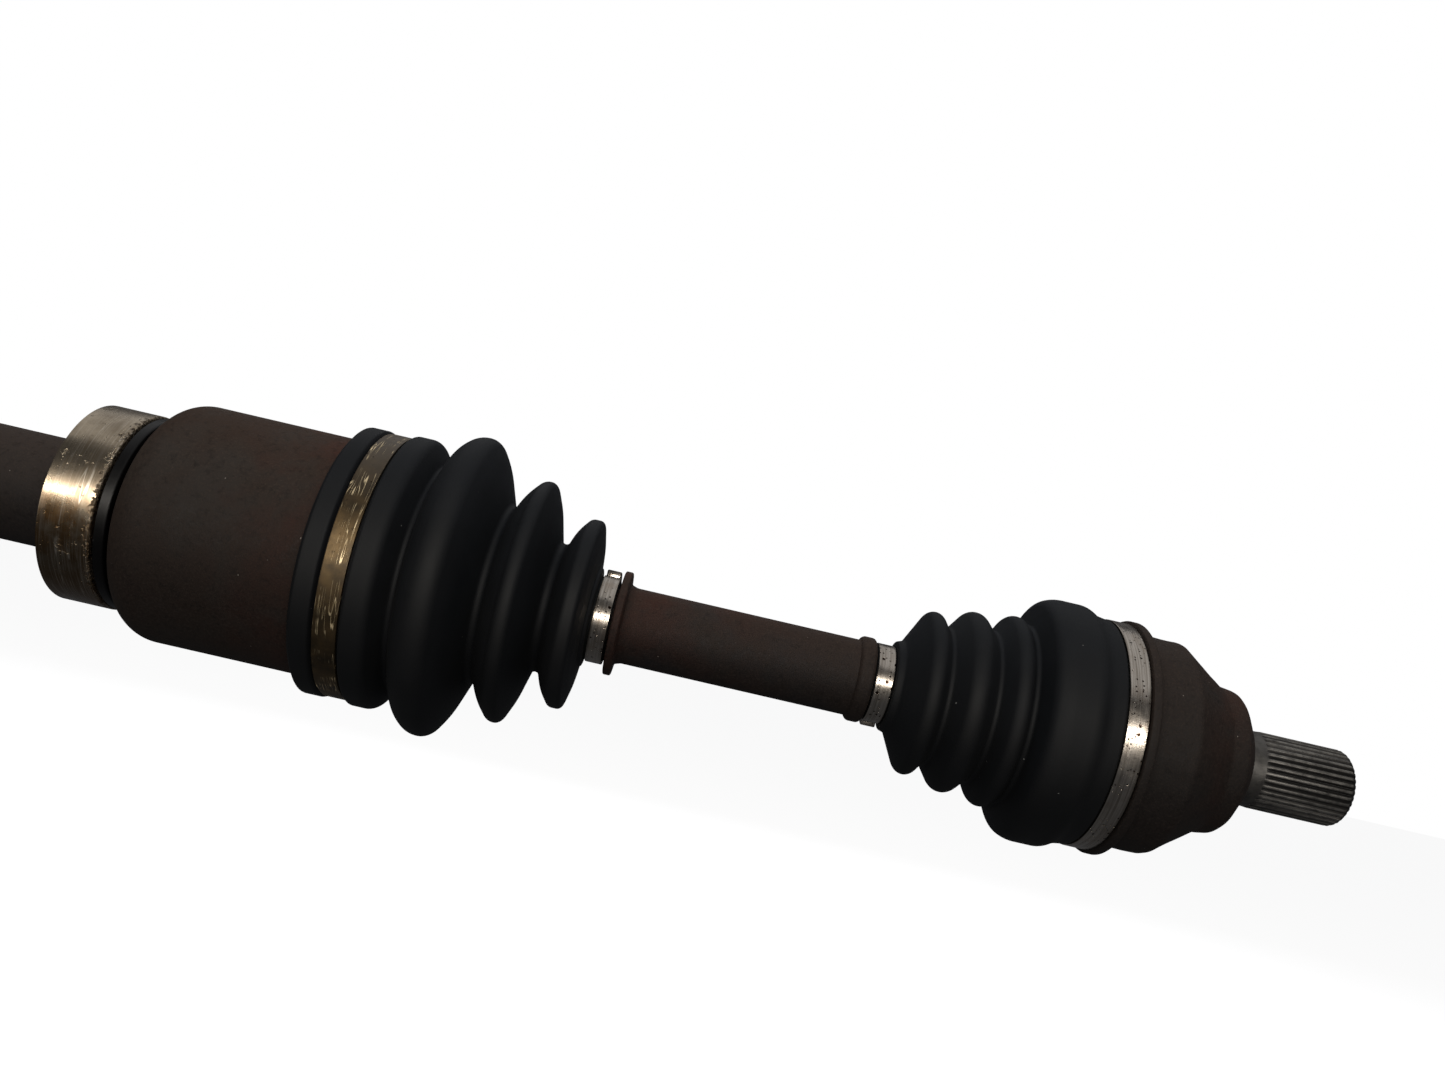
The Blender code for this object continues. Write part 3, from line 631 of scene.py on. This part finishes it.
paint_stretch(shaft_piece, GEAR_STEEL, shaft_left - 1, -412.5)
paint_stretch(shaft_piece, HARD_STEEL, -8.7, 8.7)
fit(shaft_piece, "intermediate", "rusted_steel", "intermediate_shaft")
print(f"shaft {shaft_right - shaft_left:.0f} mm long")

# %% [markdown]
# ## The tripod joint's housing
# A forged cup, turned smooth outside, with three tracks inside for the rollers. The cup is spun as a solid and a
# Boolean takes the tracks out of it. The cutter is one flat outline of arcs, extruded along X.

# %% Make the tripod housing
face_x, mouth_x, cup_r = corners_of("inner_joint_housing")
TRACK_HALF, TRACK_REACH, TRACK_CORNER, CUP_BORE_R, TRACK_BACK = 16.8, 34.3, 7.0, 20.5, 26.5


def tripod_cutter():
    """The three tracks and the bore between them, as a bmesh prism."""
    mesh = bmesh.new()
    points = []
    for lobe in range(3):
        middle = math.tau * lobe / 3
        side = [Vector((math.sqrt(CUP_BORE_R**2 - TRACK_HALF**2), -TRACK_HALF))]
        for k in range(7):
            turn = math.radians(-90 + 15 * k)
            side.append(
                Vector((TRACK_REACH - TRACK_CORNER, TRACK_CORNER - TRACK_HALF))
                + TRACK_CORNER * Vector((math.cos(turn), math.sin(turn)))
            )
        side += [Vector((p.x, -p.y)) for p in reversed(side)]
        points += [(middle + math.atan2(p.y, p.x), p.length) for p in side]
        points.append((middle + math.pi / 3, CUP_BORE_R))
    verts = [
        mesh.verts.new((TRACK_BACK * MM, -r * math.sin(a) * MM, r * math.cos(a) * MM)) for a, r in points
    ]
    base = mesh.faces.new(verts)
    grown = bmesh.ops.extrude_face_region(mesh, geom=[base])["geom"]
    moved = [g for g in grown if isinstance(g, bmesh.types.BMVert)]
    bmesh.ops.translate(mesh, verts=moved, vec=((mouth_x - TRACK_BACK + 5) * MM, 0, 0))
    return mesh


def carve(piece, cutter_mesh):
    """Takes the cutter's shape out of the piece and forgets the cutter."""
    cutter = object_of(cutter_mesh, "cutter", HARD_STEEL)
    boolean = piece.modifiers.new("carve", "BOOLEAN")
    boolean.operation = "DIFFERENCE"
    boolean.solver = "EXACT"
    boolean.object = cutter
    bpy.context.view_layer.update()
    graph = bpy.context.evaluated_depsgraph_get()
    carved = bpy.data.meshes.new_from_object(piece.evaluated_get(graph))
    piece.modifiers.clear()
    piece.data = carved
    bpy.data.objects.remove(cutter)


cup_outline = rounded(
    [(0, mouth_x), (cup_r, mouth_x, 1.0), (cup_r, face_x, 12.5), (0, face_x)],
    1.4,
)
cup = object_of(spun(finer(cup_outline, 6), 180), "inner_joint_housing_fine", HOUSING_RUST)
carve(cup, tripod_cutter())
RELIEF_R, CONE_END = 30.7, 61.2
relief = [(0, mouth_x + 6), (RELIEF_R, mouth_x + 6), (RELIEF_R, mouth_x - 2), (19.2, CONE_END), (0, CONE_END)]
carve(cup, spun([Vector(p) for p in relief], 96))
cup.data.set_sharp_from_angle(angle=math.radians(32))
fit(cup, "intermediate", "rusted_steel", "inner_joint_housing")
print(len(cup.data.polygons), "faces in the cup")

# %% [markdown]
# ## The middle shaft
# A solid bar with a square collar beside the inner boot and a rounded bead beside the outer one, which keep the small
# clamps in place. It is one turned piece, so its outline says everything.

# %% Make the middle shaft
bar_left, bar_right, collar_r = corners_of("axle_bar")
BAR_R, BEAD_R = 13.3, 14.9
bar_outline = rounded(
    [(0, bar_right), (9.5, bar_right, 0.5), (10.5, 368), (8.8, 368), (8.8, 366.3), (10.5, 366.3), (10.5, 345.4)]
    + [(11.2, 345.2), (11.2, 276), (10.8, 274), (10.8, 264.2), (BEAD_R, 264.0, 1.6), (BEAD_R, 259.0, 1.8)]
    + [(BAR_R, 258.4, 0.5), (BAR_R, 179.4, 3.0), (14.0, 177.2, 0.8), (collar_r, 176.7, 0.6), (collar_r, 174.1, 0.5)]
    + [(11.7, 174.1), (11.7, 165), (12.4, 163), (12.4, 76), (11.3, 73.4), (10.5, 73.3), (10.5, 51)]
    + [(8.8, 51), (8.8, 49.4), (10.5, 49.4), (9.7, bar_left), (0, bar_left)],
    0.5,
)
bar = object_of(spun(finer(bar_outline, 6)), "axle_bar_fine", SHAFT_RUST)
fit(bar, "mid_shaft", "rusted_steel", "axle_bar")
print(f"middle shaft {bar_right - bar_left:.0f} mm long, {BAR_R * 2:.1f} mm thick")

# %% [markdown]
# ## The ball joint's housing
# The bell is forged around the ball tracks, turned at its rim where the boot sits, and narrows in two steps to a flat
# shoulder that the wheel hub is pulled against. A plain neck and the splined stub follow, with a bore for the axle
# bolt in the end. The forged part keeps its slightly uneven skin, so its points are pushed in and out by up to
# about 0.3 mm.

# %% Make the ball joint's housing
rim_x, stub_end, _ = corners_of("outer_joint_housing")
HUB_TEETH, NECK_R = 36, 13.2
BELL_CENTRE, BELL_SPHERE_R = 356.0, 27.7
SKIN_DEPTH, SKIN_PATCH_MM = 0.009, 7
cavity = [
    Vector((BELL_SPHERE_R * math.cos(t), BELL_CENTRE + BELL_SPHERE_R * math.sin(t)))
    for t in (math.radians(90 - 6 * k) for k in range(20))
]
bell_outline = cavity + rounded(
    [(30.2, rim_x), (36.4, rim_x, 0.4), (36.4, 348.4), (40.8, 348.4, 0.5), (40.8, 351.4, 0.8), (37.1, 352.2, 0.6)]
    + [(37.1, 366.4, 4.0), (26.0, 382.4, 3.5), (25.0, 389.2, 3.0), (18.0, 393.8, 0.8), (13.2, 393.8), (13.2, 400.4)],
    0.7,
)
bell = spun(finer(bell_outline, 3), HUB_TEETH * POINTS_PER_TOOTH, closed=False)
grow(
    bell,
    HUB_TEETH,
    [(400.8, NECK_R, NECK_R), (402.6, HUB_ROOT, HUB_TIP), (stub_end - 2.4, HUB_ROOT, HUB_TIP)]
    + [(stub_end - 1.3, 12.2, 12.9), (stub_end - 0.4, 11.6, 11.9), (stub_end, 10.6, 10.6)]
    + [(stub_end, 8.5, 8.5), (stub_end - 1.4, 7.0, 7.0), (407, 7.0, 7.0), (403.4, 0.6, 0.6)],
)
for vert in bell.verts:
    if 353 * MM < vert.co.x < 393 * MM and vert.co.yz.length > 22 * MM:
        push = 1 + SKIN_DEPTH * unevenness(vert.co / (SKIN_PATCH_MM * MM))
        vert.co.yz = vert.co.yz * push
bell_piece = object_of(bell, "outer_joint_housing_fine", BELL_RUST)
paint_stretch(bell_piece, STUB_STEEL, 393.9, stub_end + 1)
fit(bell_piece, "outer_housing", "rusted_steel", "outer_joint_housing")
print(f"{HUB_TEETH} teeth on the stub, {len(bell_piece.data.polygons)} faces in the bell")

# %% [markdown]
# ## The boots
# A boot is a moulded rubber bellows. Its outline is the row of folds, and a second line inside gives the wall. When
# the shaft bends, the folds close on one side and open on the other. The boot is therefore made in stretches that meet
# on a fold's flank, and each stretch is listed with the joint it would blend across; this script attaches the
# stretches to no body and only prints the two bodies of each blend. A blend's two bodies may be named from either
# side: the last stretch starts at the housing, because from there its bend stays well defined at every limit.

# %% Make the boots


def boot(name, corners, wall_points, pieces):
    """Turned stretches of the boot NAME. PIECES are (x from, x to, body, next body, blend from, blend to)."""
    skin = finer(rounded(corners, 0.7), 1.1)
    outline = skin[::-1] + [Vector(p) for p in wall_points]
    for number, (x0, x1, body, next_body, start, stop) in enumerate(pieces, 1):
        piece = object_of(spun(outline, 144, keep=(x0, x1)), f"{name}_{number}", BOOT_RUBBER, 50)
        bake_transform(piece)
        fit(piece, None, "black_rubber", name)
        print(f"{piece.name}: {x0} to {x1} mm, blends {body} into {next_body}")


INNER_FOLDS = [
    (44.9, 77.4),
    (46.7, 78.6, 0.7),
    (46.7, 84.4, 0.7),
    (44.9, 85.3),
    (44.9, 93.8),
    (47.3, 94.4, 1.2),
    (47.3, 101.6, 4.0),
    (38.0, 107.2, 1.2),
    (48.0, 110.6, 11.5),
    (52.3, 115.8, 7.6),
    (52.3, 121.4, 5.0),
    (46.0, 125.4, 30),
    (29.0, 131.8, 1.6),
    (37.4, 136.0, 24),
    (42.4, 140.4, 3.6),
    (42.4, 143.8, 2.5),
    (35.6, 146.7, 30),
    (18.6, 151.3, 1.8),
    (28.6, 155.2, 18),
    (33.2, 158.8, 2.6),
    (33.2, 163.0, 1.8),
    (27.0, 164.4, 12),
    (17.6, 165.2, 0.6),
    (17.2, 166.2, 0.4),
    (14.1, 166.7),
    (14.1, 173.2),
]
INNER_WALL = [(41.7, 77.4), (41.7, 96.6), (43.4, 101.2), (36.0, 107.2), (48.0, 118.4), (29.0, 131.8)]
INNER_WALL += [(38.4, 143), (16.6, 151.3), (26.4, 160.5), (12.2, 165.0), (12.2, 173.2)]
boot(
    "inner_boot",
    INNER_FOLDS,
    INNER_WALL,
    [
        (70, 112, "intermediate", "inner_boot_body", 92.5, 112),
        (112, 138.7, "inner_boot_body", "first_roller", 112, 138.7),
        (138.7, 180, "first_roller", "mid_shaft", 138.7, 155),
    ],
)

OUTER_FOLDS = [
    (12.6, 264.5),
    (12.6, 270.9),
    (15.6, 271.1, 0.5),
    (16.4, 273.4, 1.5),
    (31.5, 281.6, 3.3),
    (23.6, 287.4, 1.2),
    (34.2, 295.3, 4.5),
    (25.8, 303.2, 1.2),
    (36.2, 309.4, 3.3),
    (29.5, 314.2, 1.2),
    (40.6, 317.2, 4.6),
    (42.4, 321.6, 11),
    (42.4, 331.6, 7.0),
    (40.2, 335.2, 9.0),
    (39.6, 338.9, 0.8),
    (39.4, 340.5, 0.4),
    (38.5, 340.7),
    (38.5, 348.1),
]
OUTER_WALL = [(11.3, 264.5), (11.3, 272.0), (13.9, 273.4), (26.0, 281.6), (21.8, 287.4), (29.1, 295.3)]
OUTER_WALL += [(23.8, 303.2), (30.6, 309.4), (27.6, 314.0), (39.4, 322.0), (39.4, 331.0), (36.7, 338.9)]
OUTER_WALL += [(36.7, 348.1)]
boot(
    "outer_boot",
    OUTER_FOLDS,
    OUTER_WALL,
    [
        (260, 329.5, "mid_shaft", "outer_boot_body", 294, 329.5),
        (329.5, 350, "outer_housing", "outer_boot_body", 341.2, 329.5),
    ],
)

# %% [markdown]
# ## The clamps
# A clamp is a strip bent into a ring, with an ear that was pinched to draw it tight. The ear is a short spun block
# with bevelled edges. The hollow between a real ear's feet is left out. One ear faces up and the others face away.

# %% Make the clamps
# Each band's outer and inner radius, in millimetres. The CAD box of a clamp also holds its ear.
BAND_RADII = {
    "inner_boot_large_clamp": (46.1, 45.1),
    "inner_boot_small_clamp": (15.2, 14.3),
    "outer_boot_small_clamp": (13.7, 12.8),
    "outer_boot_large_clamp": (39.7, 38.7),
}


def clamp(node, body, slot, finish, ear_angle, ear_mm, ear_high):
    """A band with slightly rolled edges, and its ear at EAR_ANGLE degrees from +Z towards -Y."""
    x0, x1, _ = corners_of(node)
    band_r, seat_r = BAND_RADII[node]
    edge = 0.25
    outline = rounded([(seat_r, x0), (band_r, x0, edge), (band_r, x1, edge), (seat_r, x1)], 0.2)
    mesh = spun(finer(outline, 1.5))
    sweep = ear_mm / band_r
    foot_r, crown_r = seat_r + 0.2, band_r + ear_high
    section = [(foot_r, x0 + 0.3), (crown_r, x0 + 0.3), (crown_r, x1 - 0.3), (foot_r, x1 - 0.3)]
    ear = spun([Vector(p) for p in section], 6, angle=sweep)
    bmesh.ops.recalc_face_normals(ear, faces=ear.faces[:])
    bmesh.ops.bevel(
        ear,
        geom=ear.edges[:],
        offset=0.45 * MM,
        affect="EDGES",
        segments=2,
        profile=0.5,
        material=-1,
        clamp_overlap=True,
    )
    turn = Matrix.Rotation(math.radians(ear_angle) - sweep / 2, 3, "X")
    bmesh.ops.rotate(ear, verts=ear.verts[:], cent=(0, 0, 0), matrix=turn)
    spare = bpy.data.meshes.new("ear")
    ear.to_mesh(spare)
    ear.free()
    mesh.from_mesh(spare)
    bpy.data.meshes.remove(spare)
    fit(object_of(mesh, f"{node}_fine", finish), body, slot, node)
    print(f"{node}: {band_r * 2:.1f} mm across")


clamp("inner_boot_large_clamp", "intermediate", "yellow_passivated_band", YELLOW_BAND, 200, 9, 2.2)
clamp("inner_boot_small_clamp", "mid_shaft", "stainless_band", STAINLESS, -18, 7, 2.4)
clamp("outer_boot_small_clamp", "mid_shaft", "stainless_band", STAINLESS, 200, 6, 1.8)
clamp("outer_boot_large_clamp", "outer_housing", "stainless_band", STAINLESS, 200, 9, 2.0)

# %% [markdown]
# ## The pieces inside
# The spider, rollers, race, cages, balls and circlips keep their CAD shapes, which the boots and seals hide. They
# still get the finish of the real ones: ground hardened steel, pressed cages and blued springs.

# %% Finish the inner pieces
INNER_FINISHES = {
    "hardened_joint_steel": HARD_STEEL,
    "pressed_cage_steel": CAGE_STEEL,
    "spring_steel": SPRING_STEEL,
}
finished = []
for part in frame["record"]["subparts"]:
    finish = INNER_FINISHES.get(part["material_slot"])
    node = frame["nodes"][part["node"]]
    if finish and not node.hide_render:
        node.data.materials.clear()
        node.data.materials.append(finish)
        finished.append(node.name)
print(len(finished), "inner pieces finished")

# %% [markdown]
# ## Studio
# The object hangs over a plain white floor under a wide soft box. A low, wide window stands behind the camera: the
# bright bands on the ring and the clamps are its reflection. The world is white to the eye and dim as a light, so dark
# rust and rubber keep their depth. The floor is seen but throws no light up, for the same reason. Some lights are
# hidden from glossy or from diffuse rays, so that one sets the reflections and another the brightness.

# %% Light the scene
scene = bpy.context.scene
scene.view_settings.view_transform = "Standard"
world = bpy.data.worlds.new("studio")
scene.world = world
world.use_nodes = True
sky = world.node_tree
sky.nodes.clear()
seen = add_node(sky, "ShaderNodeBackground", {"Color": linear("ffffff"), "Strength": 1.0})
fill = add_node(sky, "ShaderNodeBackground", {"Color": linear("e6e8ee"), "Strength": 0.08})
rays = add_node(sky, "ShaderNodeLightPath")
both = add_node(
    sky, "ShaderNodeMixShader", {0: rays.outputs["Is Camera Ray"], 1: fill.outputs[0], 2: seen.outputs[0]}
)
add_node(sky, "ShaderNodeOutputWorld", {0: both.outputs[0]})


def soft_box(name, place, target, width, height, watts, colour):
    """A rectangular light that stands at PLACE and looks at TARGET, in metres and watts."""
    data = bpy.data.lights.new(name, "AREA")
    data.shape = "RECTANGLE"
    data.size, data.size_y = width, height
    data.energy = watts
    data.color = linear(colour)[:3]
    made = bpy.data.objects.new(name, data)
    made.location = place
    made.rotation_euler = (Vector(target) - Vector(place)).to_track_quat("-Z", "Y").to_euler()
    scene.collection.objects.link(made)
    return made


middle = (0.16, 0, 0)
overhead = soft_box("overhead", (0.05, -0.30, 1.1), middle, 1.6, 0.9, 10, "fffaf2")
overhead.visible_glossy = False
top_glow = soft_box("top_glow", (0.25, 0.15, 1.4), middle, 3.2, 2.4, 14, "f7f6f6")
top_glow.visible_diffuse = False
front = soft_box("front", (0.10, -1.5, 0.35), middle, 1.5, 0.30, 5, "fffaf2")
front.visible_glossy = False
window = soft_box("window", (0.10, -1.5, 0.17), middle, 2.4, 0.17, 31, "fff8ee")
window.visible_diffuse = False
back = soft_box("back", (0.2, 1.2, 0.5), middle, 1.8, 0.8, 7, "f4f6ff")
back.visible_glossy = False

FLOOR_HALF, FLOOR_BELOW = 12, 0.26
floor_mesh = bmesh.new()
bmesh.ops.create_grid(floor_mesh, x_segments=1, y_segments=1, size=FLOOR_HALF)
bmesh.ops.translate(floor_mesh, verts=floor_mesh.verts[:], vec=(0, 0, -FLOOR_BELOW))
FLOOR_WHITE, floor_tree, floor_shader, _ = start_finish("white_paper_sweep", 0.9, specular=0.1)
floor_shader.inputs["Base Color"].default_value = linear("959595")
floor_shader.inputs["Emission Color"].default_value = linear("ffffff")
floor_shader.inputs["Emission Strength"].default_value = 0.92
floor = object_of(floor_mesh, "floor", FLOOR_WHITE)
floor.visible_diffuse = False
floor.visible_glossy = False
